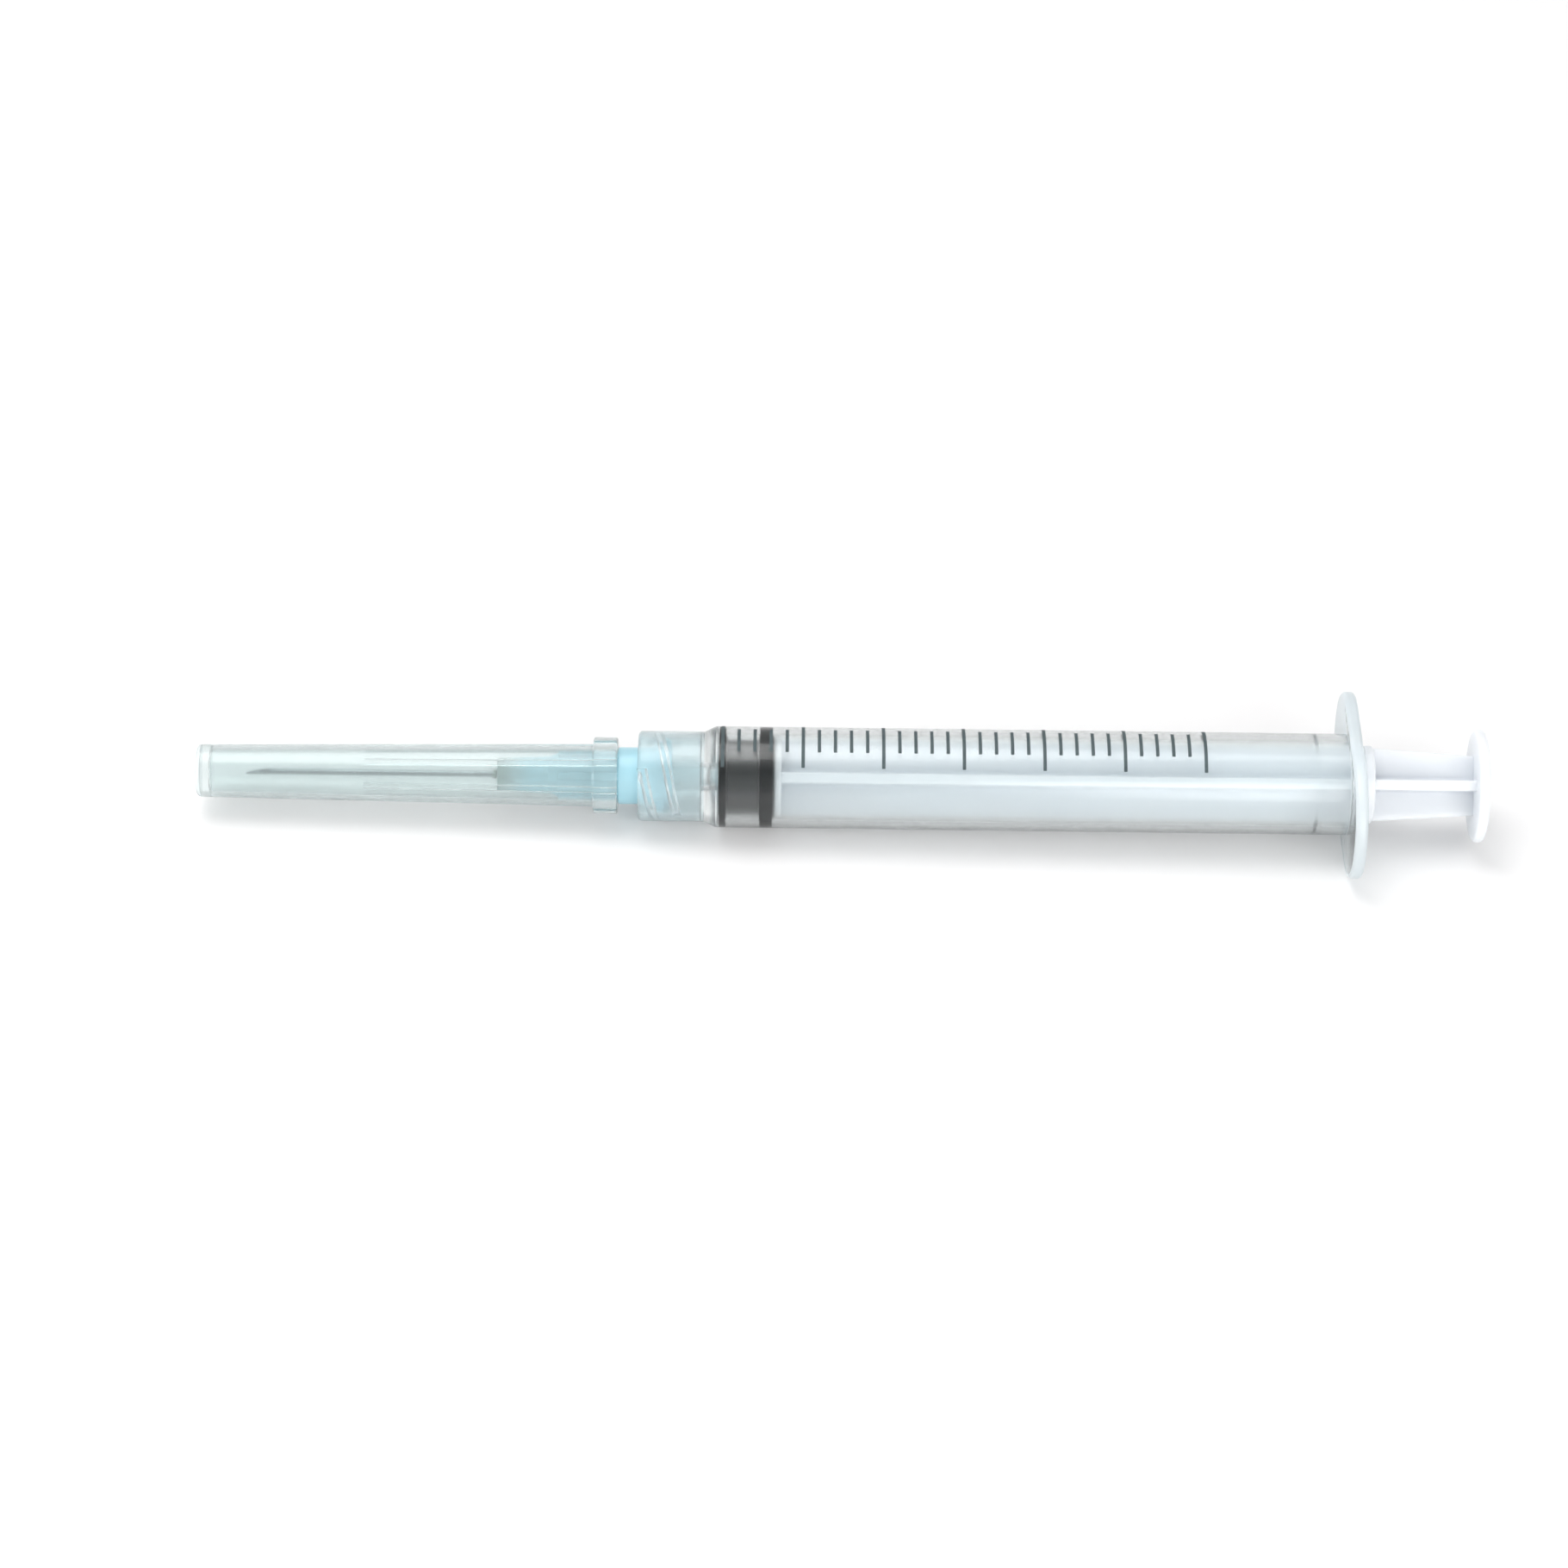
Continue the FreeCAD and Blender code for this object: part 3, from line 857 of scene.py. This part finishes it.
    def mark(self, half_angle: float) -> Piece:
        """Model one scale mark as a thin curved strip at the zero line.

        Args:
            half_angle: Degrees that it reaches to each side of +Z.

        Returns:
            The strip.
        """
        inner = Plan.BARREL_RADIUS + self.ink_gap
        outer = inner + self.ink
        front = self.zero_mark - self.mark_width / 2
        rear = self.zero_mark + self.mark_width / 2
        corners = ((front, inner), (rear, inner), (rear, outer), (front, outer))
        strip = draw_line("mark", [Vector((x, 0, z)) for x, z in corners], True)
        bpy.ops.mesh.select_all(action="SELECT")
        bpy.ops.mesh.spin(steps=14, angle=math.radians(2 * half_angle), center=(0, 0, 0), axis=(1, 0, 0))
        bpy.ops.mesh.select_all(action="SELECT")
        bpy.ops.mesh.fill_holes(sides=0)
        close_up()
        vertices = strip.data.vertices
        middle = sum(math.atan2(vertex.co.y, vertex.co.z) for vertex in vertices) / len(vertices)
        roll_by(strip, math.degrees(middle))
        return strip

    def scale(self) -> Piece:
        """Copy the two kinds of mark along the barrel.

        Returns:
            All marks as one piece, in which they stay apart.
        """
        short = self.mark(self.short_mark)
        long = self.mark(self.long_mark)
        marks = []
        for i in range(self.marks):
            mark = copy_of(short if i % self.marks_per_long_mark else long)
            take(mark)
            mark.location = (i * self.mark_pitch, 0, 0)
            bpy.ops.object.transform_apply()
            marks.append(mark)
        bpy.data.objects.remove(short)
        bpy.data.objects.remove(long)
        take(marks[0])
        for mark in marks:
            mark.select_set(True)
        bpy.ops.object.join()
        marks[0].name = "scale_marks"
        return marks[0]

    def number_faces(self, barrel: Piece) -> None:
        """Number the faces by finish: the thin wall 0, the thicker flange 1 and the collar 2.

        Args:
            barrel: The whole moulding, still in millimetres.
        """
        flange_start = -0.5
        outside = Plan.BORE_RADIUS + 0.2
        collar_end = self.shoulder_front + 0.1
        for face in barrel.data.polygons:
            reach = Vector((face.center.y, face.center.z)).length
            if face.center.x > flange_start and reach > outside:
                face.material_index = 1
            elif face.center.x < collar_end:
                face.material_index = 2

    def build(self) -> None:
        """Build and dress the barrel and its scale."""
        barrel = self.tube()
        ridges = ring_of(self.ridge(), self.ridges)
        combine(barrel, [self.wings(), *ridges], Operation.JOIN)
        self.number_faces(barrel)
        finishes = (self.finish, self.flange_finish, self.collar_finish)
        hand_over(barrel, "barrel", "barrel", "clear_barrel", *finishes)
        hand_over(self.scale(), "barrel", "scale_print", "scale_ink", self.ink_finish)


@dataclass
class Stopper:
    """The rubber stopper, whose ribs sink 0.015 mm into the barrel's wall, as pressed rubber does."""

    dome: float = 0.2
    rib_radius: float = Plan.BORE_RADIUS + 0.015
    waist_radius: float = 3.9
    front_rib: float = Plan.STOPPER_FRONT + 0.94
    rear_rib: float = Plan.STOPPER_REAR - 1.6
    neck_depth: float = 1.2
    socket_depth: float = 2.8
    finish: MouldedRubber = MouldedRubber("halobutyl_rubber_moulded", "#0a0e10", "#101517")

    def build(self) -> None:
        """Turn and dress the stopper, with its undercut socket."""
        front = Plan.STOPPER_FRONT
        rear = Plan.STOPPER_REAR
        neck = Plan.SNAP_NECK + Plan.SNAP_FIT
        head = Plan.SNAP_HEAD + Plan.SNAP_FIT
        stopper = lathe("rubber_stopper", [
            Corner(front - self.dome, 0.0),
            Corner(front, self.rib_radius, 0.22),
            Corner(self.front_rib, self.rib_radius, 0.2),
            Corner(self.front_rib, self.waist_radius, 0.2),
            Corner(self.rear_rib, self.waist_radius, 0.2),
            Corner(self.rear_rib, self.rib_radius, 0.2),
            Corner(rear, self.rib_radius, 0.25),
            Corner(rear, neck, 0.1),
            Corner(rear - self.neck_depth, neck),
            Corner(rear - self.neck_depth, head),
            Corner(rear - self.socket_depth, head, 0.2),
            Corner(rear - self.socket_depth, 0.0),
        ], closed=False)
        hand_over(stopper, "stopper", "stopper", "black_rubber", self.finish)


@dataclass
class PlungerRod:
    """The cross-ribbed rod with its discs and thumb press."""

    roll: float = 50.0
    disc: float = Plan.STOPPER_REAR + Plan.SNAP_FIT
    disc_thickness: float = 0.7
    disc_radius: float = 4.1
    neck_length: float = 1.3
    head_land: float = 0.5
    head_length: float = 1.5
    head_point: float = 1.5
    rib_half_thickness: float = 0.55
    rib_reach: float = 3.95
    rib_root_bevel: float = 0.4
    rib_edge_bevel: float = 0.16
    joint: float = 0.1
    guide: float = Plan.FLANGE_THICKNESS + 0.45
    guide_thickness: float = 1.0
    guide_radius: float = 4.05
    handle_length: float = 10.55
    handle_reach: float = 3.8
    handle_end_reach: float = 3.075
    press_thickness: float = 1.1
    press_radius: float = 5.875
    # Light glows inside it, so its shaded side stays pale and its edges are soft.
    finish: MilkyMoulding = MilkyMoulding("milky_polypropylene_moulded", "#d7dbe0", "#dde0e4")

    def cross(self, name: str, start: float, end: float, reach: float, end_reach: float) -> Piece:
        """Extrude four ribs from a square core, with rounded roots and edges.

        Args:
            name: Name of the piece.
            start: Station where the ribs start.
            end: Station where they end.
            reach: Half width across two ribs at the start.
            end_reach: Half width at the end.

        Returns:
            The cross-ribbed bar.
        """
        half = self.rib_half_thickness
        aligned = 0.9
        bar = block(name, (start, -half, -half), (end, half, half))
        bpy.ops.object.mode_set(mode="EDIT")
        for out in (Vector((0, 1, 0)), Vector((0, -1, 0)), Vector((0, 0, 1)), Vector((0, 0, -1))):
            pick(bar, Element.FACES, lambda face: face.normal.dot(out) > aligned and all(
                abs(v.co.y) < half + NEAR and abs(v.co.z) < half + NEAR for v in face.verts
            ))
            bpy.ops.mesh.extrude_region_move(TRANSFORM_OT_translate={"value": out * (reach - half)})
            pick(bar, Element.VERTS, lambda vertex: (
                vertex.co.x > end - NEAR and vertex.co.dot(out) > reach - NEAR
            ))
            bpy.ops.transform.translate(value=out * (end_reach - reach))
        for corner_y in (half, -half):
            for corner_z in (half, -half):
                root = Vector((corner_y, corner_z))
                pick(bar, Element.EDGES, lambda edge: runs_along(edge) and all(
                    (Vector((v.co.y, v.co.z)) - root).length < NEAR for v in edge.verts
                ))
                bpy.ops.mesh.bevel(offset=self.rib_root_bevel, segments=4, affect="EDGES")
        pick(bar, Element.EDGES, lambda edge: runs_along(edge) and all(
            max(abs(v.co.y), abs(v.co.z)) > end_reach - NEAR for v in edge.verts
        ))
        bpy.ops.mesh.bevel(offset=self.rib_edge_bevel, segments=3, affect="EDGES")
        close_up()
        roll_by(bar, self.roll)
        return bar

    def build(self) -> None:
        """Build and dress the rod."""
        ribs = self.disc + self.disc_thickness
        neck = self.disc - self.neck_length
        handle = self.guide + self.guide_thickness
        press = handle + self.handle_length
        rod = lathe("plunger_rod_moulding", [
            Corner(neck - self.head_length, 0.0),
            Corner(neck - self.head_length, self.head_point, 0.15),
            Corner(neck - self.head_land, Plan.SNAP_HEAD, 0.2),
            Corner(neck, Plan.SNAP_HEAD, 0.1),
            Corner(neck, Plan.SNAP_NECK, 0.1),
            Corner(self.disc, Plan.SNAP_NECK),
            Corner(self.disc, self.disc_radius, 0.2),
            Corner(ribs, self.disc_radius, 0.2),
            Corner(ribs, 0.0),
        ], closed=False)
        guide = lathe_disc("guide", self.guide, handle, self.guide_radius, (0.2, 0.2))
        top = lathe_disc("press", press, press + self.press_thickness, self.press_radius, (0.4, 0.5))
        inner = self.cross(
            "inner_ribs", ribs - self.joint, self.guide + self.joint, self.rib_reach, self.rib_reach
        )
        outer = self.cross(
            "outer_ribs", handle - self.joint, press + self.joint, self.handle_reach, self.handle_end_reach
        )
        combine(rod, [inner, guide, outer, top], Operation.JOIN)
        hand_over(rod, "plunger_rod", "plunger_rod", "milky_rod", self.finish)


@dataclass
class Needle:
    """The hub, its steel tube and the glue that holds the tube."""

    luer_fit: float = 0.02
    cone_end: float = Plan.HUB_BASE - 8.0
    throat_radius: float = 1.2
    throat_length: float = 2.4
    throat_end_radius: float = 0.65
    neck_radius: float = 2.95
    step: float = Plan.HUB_SHOULDER - 6.2
    nose_root: float = Plan.HUB_SHOULDER - 7.2
    nose_root_radius: float = 1.9
    nose: float = Plan.HUB_SHOULDER - 12.5
    nose_radius: float = 1.7
    well_depth: float = 1.8
    well_radius: float = 1.15
    well_floor_radius: float = 0.7
    lug_radius: float = 3.9
    lug_base_width: float = 0.9
    lug_crest_width: float = 0.6
    lug_turns: float = 60.0 / 360.0
    lug_fit: float = 0.05
    lugs: int = 2
    sunk: float = 0.2
    fins: int = 6
    fin_half_width: float = 0.4
    fin_bevel: float = 0.12
    fin_roll: float = 53.0
    fin_fit: float = 0.03
    rib_fit: float = 0.06
    tube_radius: float = 0.3
    tube_bore: float = 0.165
    tube_reach: float = 26.2
    tube_socket: float = 6.0
    bevel_angle: float = 12.0
    glue_fit: float = 0.03
    glue_wall: float = 0.12
    glue_rise: float = 0.55
    glue_slope: float = 0.183
    # Full light blue in the thick neck, paler and clearer towards the thin nose.
    finish: ClearMoulding = ClearMoulding(
        "tinted_polypropylene_moulded", "#b3e3f0", "#bfe9f4", 0.3,
        grain_depth_mm=0.002, shadow_tint="#a9d3df", clearness=0.2,
        thin_tint="#eaf7f4", thin_from_mm=-84.2, thin_to_mm=-88.4,
    )
    tube_finish: DrawnSteel = DrawnSteel("stainless_tube_drawn", "#a9afb1", "#8f9698")
    # Clear and glossy with a faint green cast, as a drop of resin is.
    glue_finish: ClearMoulding = ClearMoulding(
        "epoxy_cured", "#dff0e4", "#e8f5ea", 0.12, patch_mm=1.0, grain_mm=1.0 / 3,
        grain_depth_mm=0.002, index=1.54, shadow_tint="#dfe9e4",
    )

    def cone_radius(self, x: float) -> float:
        """Inside radius of the hub's cone at a station."""
        return Plan.luer_radius(x) + self.luer_fit

    def core_radius(self, x: float) -> float:
        """Radius of the hub between its fins at a station, clear of the sheath's ribs."""
        return Plan.sheath_bore(x) - Plan.SHEATH_RIB_HEIGHT - self.rib_fit

    def crest_radius(self, x: float) -> float:
        """Radius over the hub's fins at a station, clear of the sheath's bore."""
        return Plan.sheath_bore(x) - self.fin_fit

    def fin(self) -> Piece:
        """Model one fin of the hub, tapered with the sheath's bore.

        Returns:
            The fin, with rounded crest edges.
        """
        shoulder = Plan.HUB_SHOULDER
        front = self.step + NEAR
        low = self.core_radius(self.step) - self.sunk
        fin = block(
            "fin", (front, -self.fin_half_width, low),
            (shoulder + 0.1, self.fin_half_width, self.crest_radius(shoulder)),
        )
        bpy.ops.object.mode_set(mode="EDIT")
        top = low + NEAR
        pick(fin, Element.VERTS, lambda vertex: vertex.co.x < front + NEAR and vertex.co.z > top)
        bpy.ops.transform.translate(value=(0, 0, self.crest_radius(self.step) - self.crest_radius(shoulder)))
        pick(fin, Element.EDGES, lambda edge: all(v.co.z > top for v in edge.verts))
        bpy.ops.mesh.bevel(offset=self.fin_bevel, segments=3, affect="EDGES")
        roll_by(fin, self.fin_roll)
        return fin

    def lug(self) -> Piece:
        """Screw one lug, lying just behind a ridge of the collar.

        Returns:
            The lug, sunk into the hub's neck.
        """
        travel = Plan.THREAD_LEAD * self.lug_turns
        start = Plan.HUB_BASE - self.lug_base_width / 2 - travel
        behind = (Plan.ridge_width(self.lug_radius) + self.lug_crest_width) / 2 + self.lug_fit
        return helix(
            "lug", start, (self.neck_radius - self.sunk, self.lug_base_width),
            (self.lug_radius, self.lug_crest_width), self.lug_turns, Plan.thread_roll(start - behind),
        )

    def hub(self) -> Piece:
        """Turn the hub and join its fins and lugs.

        Returns:
            The hub.
        """
        base = Plan.HUB_BASE
        shoulder = Plan.HUB_SHOULDER
        socket_end = self.nose + self.tube_socket
        hub = lathe("needle_hub_moulding", [
            Corner(base, self.cone_radius(base), 0.08),
            Corner(base, self.neck_radius, 0.15),
            Corner(shoulder, self.neck_radius, 0.2),
            Corner(shoulder, self.core_radius(shoulder), 0.1),
            Corner(self.step, self.core_radius(self.step), 0.15),
            Corner(self.nose_root, self.nose_root_radius, 0.3),
            Corner(self.nose, self.nose_radius, 0.2),
            Corner(self.nose, self.well_radius, 0.1),
            Corner(self.nose + self.well_depth, self.well_floor_radius, 0.1),
            Corner(self.nose + self.well_depth, self.tube_radius),
            Corner(socket_end, self.tube_radius),
            Corner(socket_end, self.throat_end_radius),
            Corner(self.cone_end - self.throat_length, self.throat_end_radius, 0.2),
            Corner(self.cone_end, self.throat_radius, 0.1),
            Corner(self.cone_end, self.cone_radius(self.cone_end), 0.1),
        ])
        combine(hub, ring_of(self.fin(), self.fins) + ring_of(self.lug(), self.lugs), Operation.JOIN)
        return hub

    def tube(self) -> Piece:
        """Turn the steel tube and grind its bevel.

        Returns:
            The tube.
        """
        tip = self.nose - self.tube_reach
        back = self.nose + self.tube_socket
        tube = lathe("needle_tube", [
            Corner(tip, self.tube_bore), Corner(tip, self.tube_radius),
            Corner(back, self.tube_radius), Corner(back, self.tube_bore),
        ])
        length = 2 * self.tube_radius / math.tan(math.radians(self.bevel_angle))
        half_length, half_width, height = 12, 1, 2
        grind = block("grind", (-half_length, -half_width, 0), (half_length, half_width, height))
        take(grind)
        grind.rotation_euler = (0, -math.radians(self.bevel_angle), 0)
        grind.location = (tip + length, 0, self.tube_radius)
        bpy.ops.object.transform_apply()
        combine(tube, [grind], Operation.CUT)
        return tube

    def glue_ring(self) -> Piece:
        """Turn the cured glue in the hub's well.

        Returns:
            The glue.
        """
        well = self.nose + self.well_depth - self.glue_fit
        end = self.nose - self.glue_rise
        inside = self.tube_radius + self.glue_fit
        rim = inside + self.glue_wall
        return lathe("glue_fillet", [
            Corner(well, inside), Corner(well, self.well_floor_radius - self.glue_fit),
            Corner(self.nose, self.well_radius - self.glue_fit, 0.05),
            Corner(self.nose - self.glue_slope, rim, 0.3), Corner(end, rim, 0.05), Corner(end, inside),
        ])

    def build(self) -> None:
        """Build and dress the hub, tube and glue."""
        hand_over(self.hub(), "needle", "needle_hub", "blue_hub", self.finish)
        hand_over(self.tube(), "needle", "cannula", "needle_steel", self.tube_finish)
        hand_over(self.glue_ring(), "glue_ring", "cannula_adhesive", "cured_glue", self.glue_finish)


@dataclass
class Sheath:
    """The clear sheath over the needle."""

    end_wall: float = 1.4
    collar: float = Plan.SHEATH_MOUTH - 2.5
    collar_radius: float = 3.96
    ribs: int = 6
    rib_start: float = Plan.SHEATH_MOUTH - 26.2
    rib_half_width: float = 0.3
    rib_bevel: float = 0.1
    rib_roll: float = 23.0
    sunk: float = 0.25
    # Thin and hazy, with the needle showing softly through it.
    finish: ClearMoulding = ClearMoulding(
        "clear_polypropylene_thin_wall", "#e6efef", "#edf5f5", 0.18, clearness=0.88, grain_depth_mm=0.0004
    )
    # The solid end is a paler, milkier band.
    end_finish: ClearMoulding = ClearMoulding(
        "clear_polypropylene_thick_end", "#eef6f7", "#f3fafa", 0.25, clearness=0.6, grain_depth_mm=0.0004
    )

    def rib(self) -> Piece:
        """Model one long inner rib, tapered with the bore.

        Returns:
            The rib, rounded where it faces the needle.
        """
        bore = Plan.sheath_bore(self.rib_start)
        rear = Plan.SHEATH_MOUTH - NEAR
        rib = block(
            "rib", (self.rib_start, -self.rib_half_width, bore - Plan.SHEATH_RIB_HEIGHT),
            (rear, self.rib_half_width, bore + self.sunk),
        )
        bpy.ops.object.mode_set(mode="EDIT")
        pick(rib, Element.VERTS, lambda vertex: vertex.co.x > rear - NEAR)
        bpy.ops.transform.translate(value=(0, 0, Plan.sheath_bore(Plan.SHEATH_MOUTH) - bore))
        pick(rib, Element.EDGES, lambda edge: runs_along(edge) and all(
            v.co.z < Plan.sheath_bore(v.co.x) for v in edge.verts
        ))
        bpy.ops.mesh.bevel(offset=self.rib_bevel, segments=3, affect="EDGES")
        roll_by(rib, self.rib_roll)
        return rib

    def build(self) -> None:
        """Build and dress the sheath."""
        tip = Plan.SHEATH_TIP
        mouth = Plan.SHEATH_MOUTH
        inner_end = tip + self.end_wall
        sheath = lathe("sheath_moulding", [
            Corner(tip, 0.0),
            Corner(tip, Plan.SHEATH_TIP_RADIUS, 0.5),
            Corner(self.collar, Plan.sheath_radius(self.collar), 0.15),
            Corner(self.collar, self.collar_radius, 0.2),
            Corner(mouth, self.collar_radius, 0.2),
            Corner(mouth, Plan.sheath_bore(mouth), 0.1),
            Corner(inner_end, Plan.sheath_bore(inner_end), 0.4),
            Corner(inner_end, 0.0),
        ], closed=False)
        combine(sheath, ring_of(self.rib(), self.ribs), Operation.JOIN)
        for face in sheath.data.polygons:
            if face.center.x < inner_end - NEAR:
                face.material_index = 1
        hand_over(sheath, "sheath", "needle_sheath", "clear_sheath", self.finish, self.end_finish)


@dataclass
class Studio:
    """The floor, lamps and camera, set to the photograph's viewing angle."""

    elevation: float = 40.0
    distance: float = 480.0
    lens: float = 106.05
    roll: float = 0.7
    aim_x: float = -58.25
    aim_below: float = 0.67
    rest_front: tuple[float, float] = (Plan.SHOULDER_REAR, -Plan.BARREL_RADIUS)
    rest_rear: tuple[float, float] = (0.35, -Plan.FLANGE_HALF_WIDTH)
    room_light: float = 0.66
    patch_light: float = 0.08
    # Where the dark patch ends and where it is darkest: cosines of the angle from its middle.
    patch_edge: float = 0.78
    patch_core: float = 0.97
    floor_finish: BackdropPaper = BackdropPaper("paper_backdrop_matt", "#e5e4e4", "#e8e8e8")

    def floor(self) -> None:
        """Lay a plain pale floor against the flange's edge and the barrel's front."""
        clear_selection()
        bpy.ops.mesh.primitive_plane_add(size=4.0)
        floor = bpy.context.object
        floor.name = "floor"
        slope = (self.rest_rear[1] - self.rest_front[1]) / (self.rest_rear[0] - self.rest_front[0])
        floor.rotation_euler = (0, -math.atan(slope), 0)
        floor.location = (self.rest_rear[0] * MM, 0, self.rest_rear[1] * MM)
        bpy.ops.object.transform_apply()
        floor.data.materials.append(self.floor_finish.make())

    def lamp(self, name: str, place: Sequence[float], side: float, watts: float) -> None:
        """Hang one soft square lamp that faces the syringe.

        Args:
            name: Name of the lamp.
            place: Where it hangs, in metres.
            side: Its side, in metres.
            watts: Its power.
        """
        light = bpy.data.lights.new(name, "AREA")
        light.size = side
        light.energy = watts
        lamp = bpy.data.objects.new(name, light)
        bpy.context.collection.objects.link(lamp)
        lamp.location = place
        aim = Vector((self.aim_x * MM, 0, 0)) - Vector(place)
        lamp.rotation_euler = aim.to_track_quat("-Z", "Y").to_euler()

    def surroundings(self) -> None:
        """Light the room softly, but for a dark patch high in front, such as a light tent's opening."""
        world = bpy.data.worlds.new("studio")
        bpy.context.scene.world = world
        world.use_nodes = True
        tree = world.node_tree
        rise = math.radians(self.elevation)
        direction = add_node(tree, "ShaderNodeTexCoord")
        toward = add_node(tree, "ShaderNodeVectorMath", {
            0: direction.outputs["Generated"], 1: (0, -math.cos(rise), math.sin(rise)),
        }, operation="DOT_PRODUCT")
        level = add_node(tree, "ShaderNodeMapRange", {
            "Value": toward.outputs["Value"], "From Min": self.patch_edge, "From Max": self.patch_core,
            "To Min": self.room_light, "To Max": self.patch_light,
        })
        feed(tree, tree.nodes["Background"], {"Color": (1, 1, 1, 1), "Strength": level.outputs["Result"]})

    def camera(self) -> None:
        """Place the camera at the photograph's angle, with its slight roll."""
        rise = math.radians(self.elevation)
        lean = math.radians(self.roll)
        up = Vector((0, math.sin(rise), math.cos(rise)))
        back = Vector((0, -math.cos(rise), math.sin(rise)))
        across = Vector((1, 0, 0))
        turned_across = across * math.cos(lean) + up * math.sin(lean)
        turned_up = up * math.cos(lean) - across * math.sin(lean)
        aim = (across * self.aim_x - up * self.aim_below) * MM
        data = bpy.data.cameras.new("camera")
        data.lens = self.lens
        data.sensor_width = 36.0
        data.clip_start = 0.01
        camera = bpy.data.objects.new("camera", data)
        bpy.context.collection.objects.link(camera)
        basis = Matrix((turned_across, turned_up, back)).transposed().to_4x4()
        camera.matrix_world = Matrix.Translation(aim + back * self.distance * MM) @ basis
        bpy.context.scene.camera = camera

    def build(self) -> None:
        """Set up the studio."""
        bpy.context.scene.view_settings.view_transform = "Standard"
        self.floor()
        self.surroundings()
        self.lamp("key_lamp", place=(-0.20, 0.14, 0.66), side=0.5, watts=2.7)
        self.lamp("right_lamp", place=(0.12, -0.36, 0.14), side=0.3, watts=1.0)
        self.lamp("left_lamp", place=(-0.52, -0.28, 0.20), side=0.35, watts=1.4)
        self.camera()


def main() -> None:
    """Build every sub-assembly in order, then the studio, and log each part as it is built."""
    logging.basicConfig(level=logging.INFO, format="%(message)s")
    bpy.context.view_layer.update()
    for part in (Barrel(), Stopper(), PlungerRod(), Needle(), Sheath()):
        part.build()
        log.info("built the %s", type(part).__name__)
    Studio().build()


if __name__ == "__main__":
    main()
